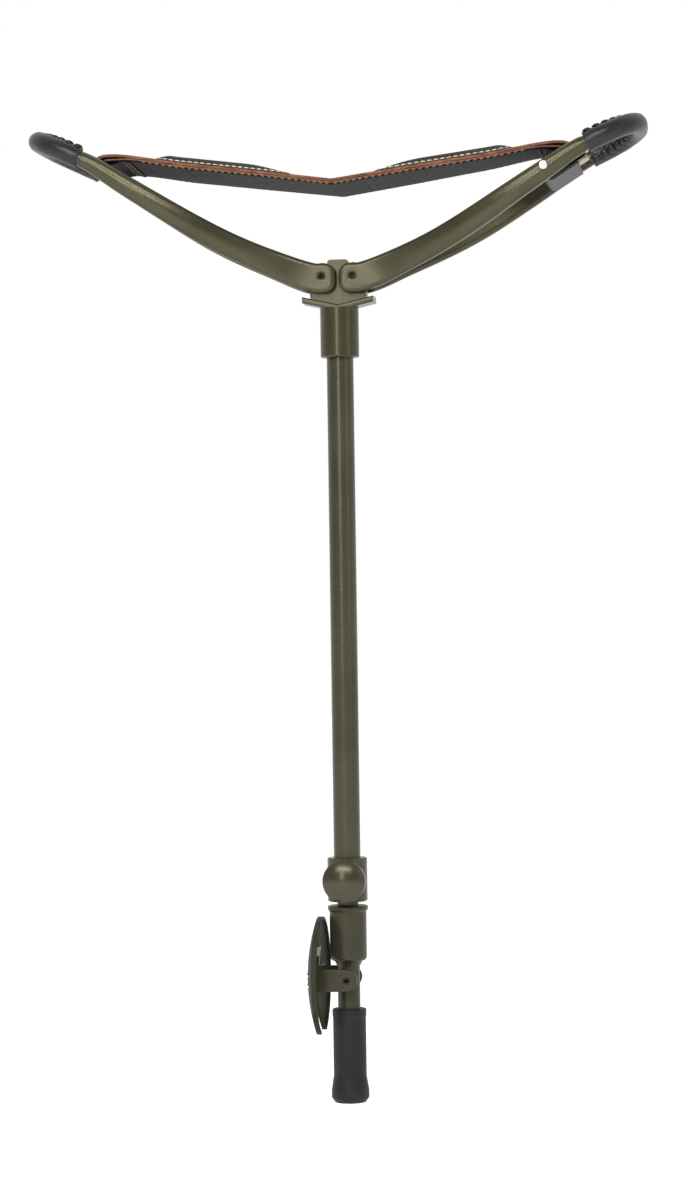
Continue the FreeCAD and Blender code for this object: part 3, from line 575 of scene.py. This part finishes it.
def straight_line(offset):
    return [Vector((x, under_z(x) + offset)) for x in np.linspace(0.0, CREASE_END, 10)]


def row_of_stitches(work, points, ups, radius, lift, share):
    """Stitches along a row of hole positions, each covering part of its step."""
    for (a, b), up in zip(zip(points, points[1:]), ups):
        gap = (1 - share) / 2
        work.capsule(a.lerp(b, gap), a.lerp(b, 1 - gap), radius, lift, up)


def edge_stitches(work, side, low, high, y_side):
    """Slanted stitches over the dark lower border of the cut edge."""
    count = max(1, round((high - low) / STITCH_PITCH))
    for k in range(count):
        x = low + (high - low) * (k + 0.5) / count
        y = y_side * (half_width(x) + 0.15)
        level = under_z(x) + sway(side, x, y)
        start = Vector((side * (x - 1.5), y, level + 0.25))
        end = Vector((side * (x + 1.7), y, level + 1.55))
        work.capsule(start, end, 0.75, 0.1, Vector((0, y_side, 0)))


def make_sling_half(side, label):
    hold = Vector((0.0, 0.0, SLING_LOW * MM))

    def bend(made, start, end):
        hold + Vector((side * start * MM, 0, 0))
        hold + Vector((side * end * MM, 0, 0))
        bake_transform(made)
        return made

    outer = Work()
    over = top_strip()
    turned = next(i for i, p in enumerate(over) if p.x > ROD_REACH + 2.0)
    strap_layer(outer, over, side, True, turned)
    strap_layer(outer, low_strip(), side, False)
    strap = outer.made(label + "_strap", sling_hide, edge_hide, flesh, dark_border_and_painted_shade_hide)
    bend(strap, FOLD_START, FOLD_END)

    inner = Work()
    strap_layer(inner, straight_line(LAYER / 2), side, False)
    strap_layer(inner, straight_line(1.5 * LAYER), side, True)
    crease = inner.made(label + "_strap_middle", sling_hide, edge_hide, flesh, dark_border_and_painted_shade_hide)
    bend(crease, 0.0, CREASE_FOLD_END)

    down = Vector((0, 0, -1))
    for low, high, start, end, name in ((CREASE_END, NARROW_START, FOLD_START, FOLD_END, "_edge_thread"),
                                        (1.2, CREASE_END, 0.0, CREASE_FOLD_END, "_edge_thread_middle")):
        rows = Work()
        for y_side in (-1, 1):
            edge_stitches(rows, side, low, high, y_side)
        made = rows.made(label + name, brown_thread)
        bend(made, start, end)

    rows = Work()
    turned_back = sorted((p.x, p.y) for p in over[turned:] if p.x < 192.0)
    for reach in TAN_ROWS:
        ys = np.linspace(-TAN_HALF, TAN_HALF, TAN_HOLES)
        level = np.interp(reach, [p[0] for p in turned_back], [p[1] for p in turned_back])
        level -= LAYER * FLAP_THIN / 2
        holes = [Vector((side * reach, y, level + sway(side, reach, y))) for y in ys]
        row_of_stitches(rows, holes, [down] * len(holes), 0.5, 0.15, 0.85)
    made = rows.made(label + "_loop_thread", tan_thread)
    bend(made, FOLD_START, FOLD_END)
    return strap


def pad_outline(inset, count):
    """Points round one pad from above, with rounded corners, spaced along the rim."""
    corner = max(PAD_CORNER - inset * 0.4, 1.0)
    x0, x1 = PAD_INNER + inset, PAD_OUTER - inset
    h0 = half_width(x0) - 0.5 - inset
    h1 = half_width(x1) - 0.5 - inset
    bend = half_width(WIDE_END) - 0.5 - inset
    points = []

    def arc(cx, cy, start):
        for k in range(7):
            a = math.radians(start + 15 * k)
            points.append(Vector((cx + corner * math.cos(a), cy + corner * math.sin(a))))

    arc(x0 + corner, -h0 + corner, 180)
    points.append(Vector((WIDE_END, -bend)))
    arc(x1 - corner, -h1 + corner, 270)
    arc(x1 - corner, h1 - corner, 0)
    points.append(Vector((WIDE_END, bend)))
    arc(x0 + corner, h0 - corner, 90)
    points.append(points[0].copy())
    lengths = [0.0]
    for a, b in zip(points, points[1:]):
        lengths.append(lengths[-1] + (b - a).length)
    spaced = []
    i = 0
    for k in range(count):
        target = lengths[-1] * k / count
        while lengths[i + 1] < target:
            i += 1
        spaced.append(points[i].lerp(points[i + 1], (target - lengths[i]) / (lengths[i + 1] - lengths[i])))
    return spaced, lengths[-1]


def pad_top(side, x, y):
    return under_z(x) + 2 * LAYER + sway(side, x, y)


def swell(t):
    return math.sin(math.pi / 2 * min(max(t, 0.0), 1.0))


def pad_height(x, y):
    """Height of the stuffed cover: a thin sewn flange, steep long sides and sloping ends."""
    half = half_width(x) - 0.5
    long_side = eased((half - abs(y) - PAD_FLANGE) / PAD_SIDE_RUN)
    end = swell((x - PAD_INNER - 1.0) / PAD_INNER_RUN) * swell((PAD_OUTER - x - 1.0) / PAD_OUTER_RUN)
    return PAD_RIM + PAD_RISE * long_side * end + PAD_CROWN * max(0.0, 1 - (y / half) ** 2) * end


def blow_up(rings, crown):
    """Moves of a cover sewn down at its first ring and blown up from inside, found on a coarser sheet."""
    around = len(rings[0])
    coarse = [ring[::PAD_COARSE] for ring in rings]
    count = len(coarse[0])
    verts = [p for ring in coarse for p in ring] + [crown]
    last = (len(coarse) - 1) * count
    faces = [(last + j, last + (j + 1) % count, len(verts) - 1) for j in range(count)]
    for i in range(len(coarse) - 1):
        for j in range(count):
            k = (j + 1) % count
            faces.append((i * count + j, i * count + k, (i + 1) * count + k, (i + 1) * count + j))
    cover = piece("cover", verts, faces, [])
    rest = np.array([v.co for v in cover.data.vertices])
    cover.vertex_groups.new(name="sewn").add(list(range(count)), 1.0, "REPLACE")
    cloth = cover.modifiers.new("blow", "CLOTH")
    cloth.settings.vertex_group_mass = "sewn"
    cloth.settings.use_pressure = True
    cloth.settings.uniform_pressure_force = 4.0
    cloth.settings.tension_stiffness = 12.0
    cloth.settings.bending_stiffness = 0.6
    cloth.settings.mass = 0.25
    cloth.settings.effector_weights.gravity = 0.0
    cloth.collision_settings.use_collision = False
    cloth.point_cache.frame_start = 1
    cloth.point_cache.frame_end = 20
    for step in range(1, 21):
        bpy.context.scene.frame_set(step)
    seen = bpy.context.evaluated_depsgraph_get()
    move = np.array([v.co for v in cover.evaluated_get(seen).data.vertices]) - rest
    bpy.data.objects.remove(cover)
    bpy.context.scene.frame_set(1)
    move *= min(1.0, PAD_PUFF * MM / max(np.linalg.norm(move, axis=1).max(), 1e-6))
    spots = np.arange(around) / PAD_COARSE
    fine = []
    for i in range(len(coarse)):
        part = move[i * count:(i + 1) * count]
        fine.append(np.stack([np.interp(spots, np.arange(count), part[:, c], period=count)
                              for c in range(3)], 1))
    return np.concatenate(fine + [move[-1:]])


def make_pad(label, side):
    """Crowned seat pad: a cover sheet sewn down all round and blown up from inside."""
    around = 240
    insets = [0.0, 0.5, 1.1, 1.8, 2.6, 3.4, 4.4, 5.6, 7.0, 9.0, 12.0, 16.0, 21.0, 27.0, 32.0, 36.0]
    rim, length = pad_outline(0.0, around)
    verts = []
    for inset in insets:
        for p in pad_outline(inset, around)[0]:
            height = 0.55 if inset == 0.0 else pad_height(p.x, p.y)
            verts.append((p.x, p.y, pad_top(side, p.x, p.y) + height))
    faces = []
    for i in range(len(insets) - 1):
        for j in range(around):
            k = (j + 1) % around
            faces.append((i * around + j, i * around + k, (i + 1) * around + k, (i + 1) * around + j))
    picks = [1 if i < around else 0 for i in range(len(faces))]
    last = (len(insets) - 1) * around
    base = len(verts)
    for p in rim:
        verts.append((p.x, p.y, pad_top(side, p.x, p.y) + 0.05))
    middle = ((PAD_INNER + PAD_OUTER) / 2, 0.0)
    crown = len(verts)
    verts.append((*middle, pad_top(side, *middle) + pad_height(*middle)))
    verts.append((*middle, pad_top(side, *middle) + 0.05))
    for j in range(around):
        k = (j + 1) % around
        faces += [(last + j, last + k, crown), (base + j, base + k, k, j), (base + k, base + j, crown + 1)]
        picks += [0, 1, 1]
    pad = piece(label, verts, faces, [pad_hide, edge_hide], picks)
    rise = np.array([v.co for v in pad.data.vertices])
    free = next(i for i, inset in enumerate(insets) if inset > PAD_FLANGE)
    rings = [verts[i * around:(i + 1) * around] for i in range(free, len(insets))]
    moved = list(range(free * around, len(insets) * around)) + [crown]
    rise[moved] += blow_up(rings, verts[crown])
    # Small gathers where each stitch pulls the cover down
    stitches = round(length / STITCH_PITCH)
    for i, inset in enumerate(insets):
        if 2.0 < inset < 10.0:
            for j in range(around):
                pull = 0.25 * math.cos(2 * math.pi * stitches * j / around) * (1 - inset / 10.0)
                rise[i * around + j][2] += pull * MM
    if side < 0:
        rise[:, 0] *= -1
        pad.data.flip_normals()
    pad.data.vertices.foreach_set("co", rise.ravel())
    pad.data.update()
    soft = pad.modifiers.new("round", "SUBSURF")
    soft.levels = 1
    soft.render_levels = 1
    bpy.context.view_layer.objects.active = pad
    with bpy.context.temp_override(object=pad, active_object=pad):
        bpy.ops.object.modifier_apply(modifier="round")
    hold = Vector((0.0, 0.0, SLING_LOW * MM))
    start, end = (hold + Vector((side * v * MM, 0, 0)) for v in (FOLD_START, FOLD_END))
    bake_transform(pad)
    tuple(start)
    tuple(end)

    seam = Work()
    spots, _ = pad_outline(0.9, stitches)
    holes = [Vector((side * p.x, p.y, pad_top(side, p.x, p.y) + PAD_RIM + 0.15)) for p in spots]
    holes.append(holes[0])
    ups = []
    for a in holes[:-1]:
        out = Vector((a.x - side * (PAD_INNER + PAD_OUTER) / 2, a.y, 0)).normalized()
        ups.append((Vector((0, 0, 1)) + 0.5 * out).normalized())
    row_of_stitches(seam, holes, ups, 0.5, 0.1, 0.76)
    row = seam.made(label + "_thread", white_thread)
    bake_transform(row)
    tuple(start)
    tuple(end)
    return pad


def loop_place(s):
    """Place, direction and inward side on the loop bar at a length along it, for the right arm."""
    along = Vector((math.cos(GRIP_SLOPE), 0.0, math.sin(GRIP_SLOPE)))
    knee = GRIP_RUN - GRIP_BEND
    straight = knee - GRIP_START
    arc = GRIP_BEND * math.pi / 2
    flat = 2 * (GRIP_HALF - GRIP_BEND)
    y_way = Vector((0.0, 1.0, 0.0))

    def at(a, y):
        return GRIP_ROOT + along * a + y_way * y

    if s < straight:
        return at(GRIP_START + s, -GRIP_HALF), along.copy(), y_way.copy()
    s -= straight
    if s < arc:
        t = s / GRIP_BEND
        place = at(knee + GRIP_BEND * math.sin(t), -GRIP_HALF + GRIP_BEND * (1 - math.cos(t)))
        return place, along * math.cos(t) + y_way * math.sin(t), y_way * math.cos(t) - along * math.sin(t)
    s -= arc
    if s < flat:
        return at(GRIP_RUN, -GRIP_HALF + GRIP_BEND + s), y_way.copy(), -along
    s -= flat
    if s < arc:
        t = s / GRIP_BEND
        place = at(knee + GRIP_BEND * math.cos(t), GRIP_HALF - GRIP_BEND * (1 - math.sin(t)))
        return place, y_way * math.cos(t) - along * math.sin(t), -along * math.cos(t) - y_way * math.sin(t)
    s -= arc
    return at(knee - s, GRIP_HALF), -along, -y_way


LOOP_UP = Vector((-math.sin(GRIP_SLOPE), 0.0, math.cos(GRIP_SLOPE)))
LOOP_LENGTH = (2 * (GRIP_RUN - GRIP_BEND - GRIP_START) + math.pi * GRIP_BEND
               + 2 * (GRIP_HALF - GRIP_BEND))


def seam_angle(s):
    """Where the laced seam lies round the bar: inner and up in front, lower at the back."""
    return math.radians(84.0 - 112.0 * s / LOOP_LENGTH)


def lace_spots():
    pitch = LOOP_LENGTH / LACES
    return [pitch * (k + 0.5) for k in range(LACES)]


def round_bar(s, angle, radius):
    place, _, inward = loop_place(s)
    return place + (inward * math.cos(angle) + LOOP_UP * math.sin(angle)) * radius


def mirrored(points, side):
    return [Vector((side * p.x, p.y, p.z)) for p in points]


def make_grip(label, side, body):
    """Leather sleeve sewn round the loop bar, with its edges drawn together at the seam."""
    spots = lace_spots()
    work = Work()
    stations = 150
    around = 72
    rings = []

    def sleeve_radius(s, angle):
        away = (angle - seam_angle(s) + math.pi) % (2 * math.pi) - math.pi
        near = min(abs(s - lace) for lace in spots)
        hem = min(s, LOOP_LENGTH - s)
        spot = Vector((s * 0.11, math.cos(angle) * 1.6, math.sin(angle) * 1.6 + side * 7))
        r = SLEEVE + 0.22 * noise.noise(spot)
        r += 0.5 * math.exp(-((abs(away) - 0.2) / 0.10) ** 2) * (1 - 0.6 * math.exp(-(near / 1.6) ** 2))
        r -= 0.75 * math.exp(-(away / 0.07) ** 2)
        beat = math.cos(2 * math.pi * (s - spots[0]) / (spots[1] - spots[0]) + math.pi)
        r += 0.35 * math.exp(-((abs(away) - 0.55) / 0.3) ** 2) * beat
        r += 0.4 * math.exp(-((hem - 1.3) / 0.8) ** 2)
        return r

    rings.append([round_bar(0.05, 2 * math.pi * j / around, GRIP_BAR + 0.1) for j in range(around)])
    rings.append([round_bar(0.0, 2 * math.pi * j / around, SLEEVE - 0.55) for j in range(around)])
    for i in range(stations + 1):
        s = 0.25 + (LOOP_LENGTH - 0.5) * i / stations
        rings.append([round_bar(s, 2 * math.pi * j / around, sleeve_radius(s, 2 * math.pi * j / around))
                      for j in range(around)])
    rings.append([round_bar(LOOP_LENGTH, 2 * math.pi * j / around, SLEEVE - 0.55) for j in range(around)])
    rings.append([round_bar(LOOP_LENGTH - 0.05, 2 * math.pi * j / around, GRIP_BAR + 0.1)
                  for j in range(around)])
    # The end rings take the pale cut-end finish, partly a painted highlight.
    edge_rings = (0, len(rings) - 2)
    work.rings([mirrored(ring, side) for ring in rings], lambda i, j: 1 if i in edge_rings else 0, caps=False)
    sleeve = work.made(label, grip_hide, cut_end_and_painted_highlight)
    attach(sleeve, body)

    laces = Work()
    for spot in spots:
        rings = []
        for i in range(15):
            t = i / 14
            angle = seam_angle(spot) - LACE_SWEEP / 2 + LACE_SWEEP * t
            s = spot - LACE_SLANT / 2 + LACE_SLANT * t
            rise = LACE_LIFT * math.sin(math.pi * t) ** 0.6 - LACE_SINK
            centre = round_bar(s, angle, SLEEVE + rise)
            ahead = round_bar(s + 0.2, angle + 0.05 * LACE_SWEEP, SLEEVE + rise)
            inward = loop_place(s)[2]
            out = (inward * math.cos(angle) + LOOP_UP * math.sin(angle)).normalized()
            run = (ahead - centre).normalized()
            wide = run.cross(out).normalized()
            girth = 0.75 + 0.25 * math.sin(math.pi * t)
            ring = []
            for j in range(12):
                a = 2 * math.pi * j / 12
                ring.append(centre + wide * (LACE_HALF_WIDTH * girth * math.cos(a))
                            + out * (LACE_HALF_DEPTH * girth * math.sin(a)))
            rings.append(mirrored(ring, side))
        laces.rings(rings)
    lacing = laces.made(label.replace("grip", "lacing"), lace_hide)
    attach(lacing, body)
    return sleeve, lacing


left_strap = make_sling_half(-1, "left")
make_sling_half(1, "right")
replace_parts(left_strap, "sling")
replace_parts(make_pad("left_seat_pad", -1), "left_pad")
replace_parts(make_pad("right_seat_pad", 1), "right_pad")
for side, name in ((-1, "left"), (1, "right")):
    sleeve, lacing = make_grip(name + "_leather_grip", side, name + "_frame")
    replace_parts(sleeve, name + "_grip")
    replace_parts(lacing, name + "_lacing")


# Stage: pale floor, white surroundings, soft lamps and the camera
FLOOR_SHADE = 0.86
FLOOR_GLOW = 0.75
ROOM_LIGHT = 0.15
DIFFUSE_LIGHT = 0.36


def pale_floor():
    f = Finish("pale_floor")
    ray = f.node("ShaderNodeLightPath", out="Is Camera Ray")
    glossy = f.node("ShaderNodeLightPath", out="Is Glossy Ray")
    clear = f.node("ShaderNodeLightPath", out="Is Transmission Ray")
    seen = ray.sum("MAXIMUM", glossy).sum("MAXIMUM", clear)
    matt = f.node("ShaderNodeBsdfDiffuse", None, {"Color": rgb(*[FLOOR_SHADE] * 3)})
    glow = f.node("ShaderNodeEmission", None, {"Color": rgb(1, 1, 1), "Strength": seen * FLOOR_GLOW})
    both = f.node("ShaderNodeAddShader", None, {0: matt, 1: glow})
    end = f.tree.nodes.new("ShaderNodeOutputMaterial")
    f.tree.links.new(both.socket, end.inputs["Surface"])
    return f.material


floor_mesh = bpy.data.meshes.new("floor")
floor_mesh.from_pydata([(-9, -9, 0), (9, -9, 0), (9, 9, 0), (-9, 9, 0)], [], [(0, 1, 2, 3)])
floor_mesh.materials.append(pale_floor())
floor = bpy.data.objects.new("floor", floor_mesh)
bpy.context.scene.collection.objects.link(floor)

scene = bpy.context.scene
world = bpy.data.worlds.new("studio")
scene.world = world
world.use_nodes = True
tree = world.node_tree
tree.nodes.clear()
path = tree.nodes.new("ShaderNodeLightPath")
way = tree.nodes.new("ShaderNodeTexCoord")
parts = tree.nodes.new("ShaderNodeSeparateXYZ")
tree.links.new(way.outputs["Generated"], parts.inputs[0])
room = tree.nodes.new("ShaderNodeMapRange")
for socket, value in ((1, -0.35), (2, 0.25), (3, ROOM_LIGHT), (4, 1.0)):
    room.inputs[socket].default_value = value
tree.links.new(parts.outputs["Y"], room.inputs[0])
strength = None
for ray in ("Is Glossy Ray", "Is Transmission Ray", "Is Camera Ray"):
    mixed = tree.nodes.new("ShaderNodeMapRange")
    tree.links.new(path.outputs[ray], mixed.inputs[0])
    mixed.inputs[3].default_value = DIFFUSE_LIGHT
    mixed.inputs[4].default_value = 1.0
    if strength:
        tree.links.new(strength.outputs[0], mixed.inputs[3])
    else:
        tree.links.new(room.outputs[0], mixed.inputs[4])
    strength = mixed
surround = tree.nodes.new("ShaderNodeBackground")
surround.inputs["Color"].default_value = rgb(1, 1, 1)
tree.links.new(strength.outputs[0], surround.inputs["Strength"])
end = tree.nodes.new("ShaderNodeOutputWorld")
tree.links.new(surround.outputs[0], end.inputs["Surface"])


def softbox(name, place, aim, size, power, colour=(1, 1, 1)):
    lamp = bpy.data.lights.new(name, "AREA")
    lamp.shape = "RECTANGLE"
    lamp.size, lamp.size_y = size
    lamp.energy = power
    lamp.color = colour
    made = bpy.data.objects.new(name, lamp)
    made.location = place
    made.rotation_euler = (Vector(aim) - Vector(place)).to_track_quat("-Z", "Y").to_euler()
    scene.collection.objects.link(made)


softbox("overhead", (-0.2, -2.1, 1.9), (0, 0, 0.7), (2.2, 0.55), 44.0, (1.0, 0.955, 0.87))
softbox("front", (-0.45, -2.6, 1.0), (0, 0, 0.68), (0.3, 1.1), 11.0, (1.0, 0.97, 0.93))
softbox("side", (2.1, -1.2, 1.3), (0, 0, 0.6), (0.8, 1.8), 6.0)

lens = bpy.data.cameras.new("camera")
lens.sensor_fit = "AUTO"
lens.sensor_width = 36.0
lens.lens = 98.3
camera = bpy.data.objects.new("camera", lens)
scene.collection.objects.link(camera)
azimuth = math.radians(7.0)
roll = math.radians(0.827)
aim = Vector((0.0, 0.0, 0.4134))
place = aim + Vector((math.sin(azimuth), -math.cos(azimuth), 0.0)) * 2.7
forward = (aim - place).normalized()
level = forward.cross(Vector((0, 0, 1))).normalized()
upright = level.cross(forward)
up = upright * math.cos(roll) + level * math.sin(roll)
right = level * math.cos(roll) - upright * math.sin(roll)
turn = Matrix((right, up, -forward)).transposed().to_4x4()
camera.matrix_world = Matrix.Translation(place) @ turn
scene.camera = camera
scene.view_settings.view_transform = "Standard"
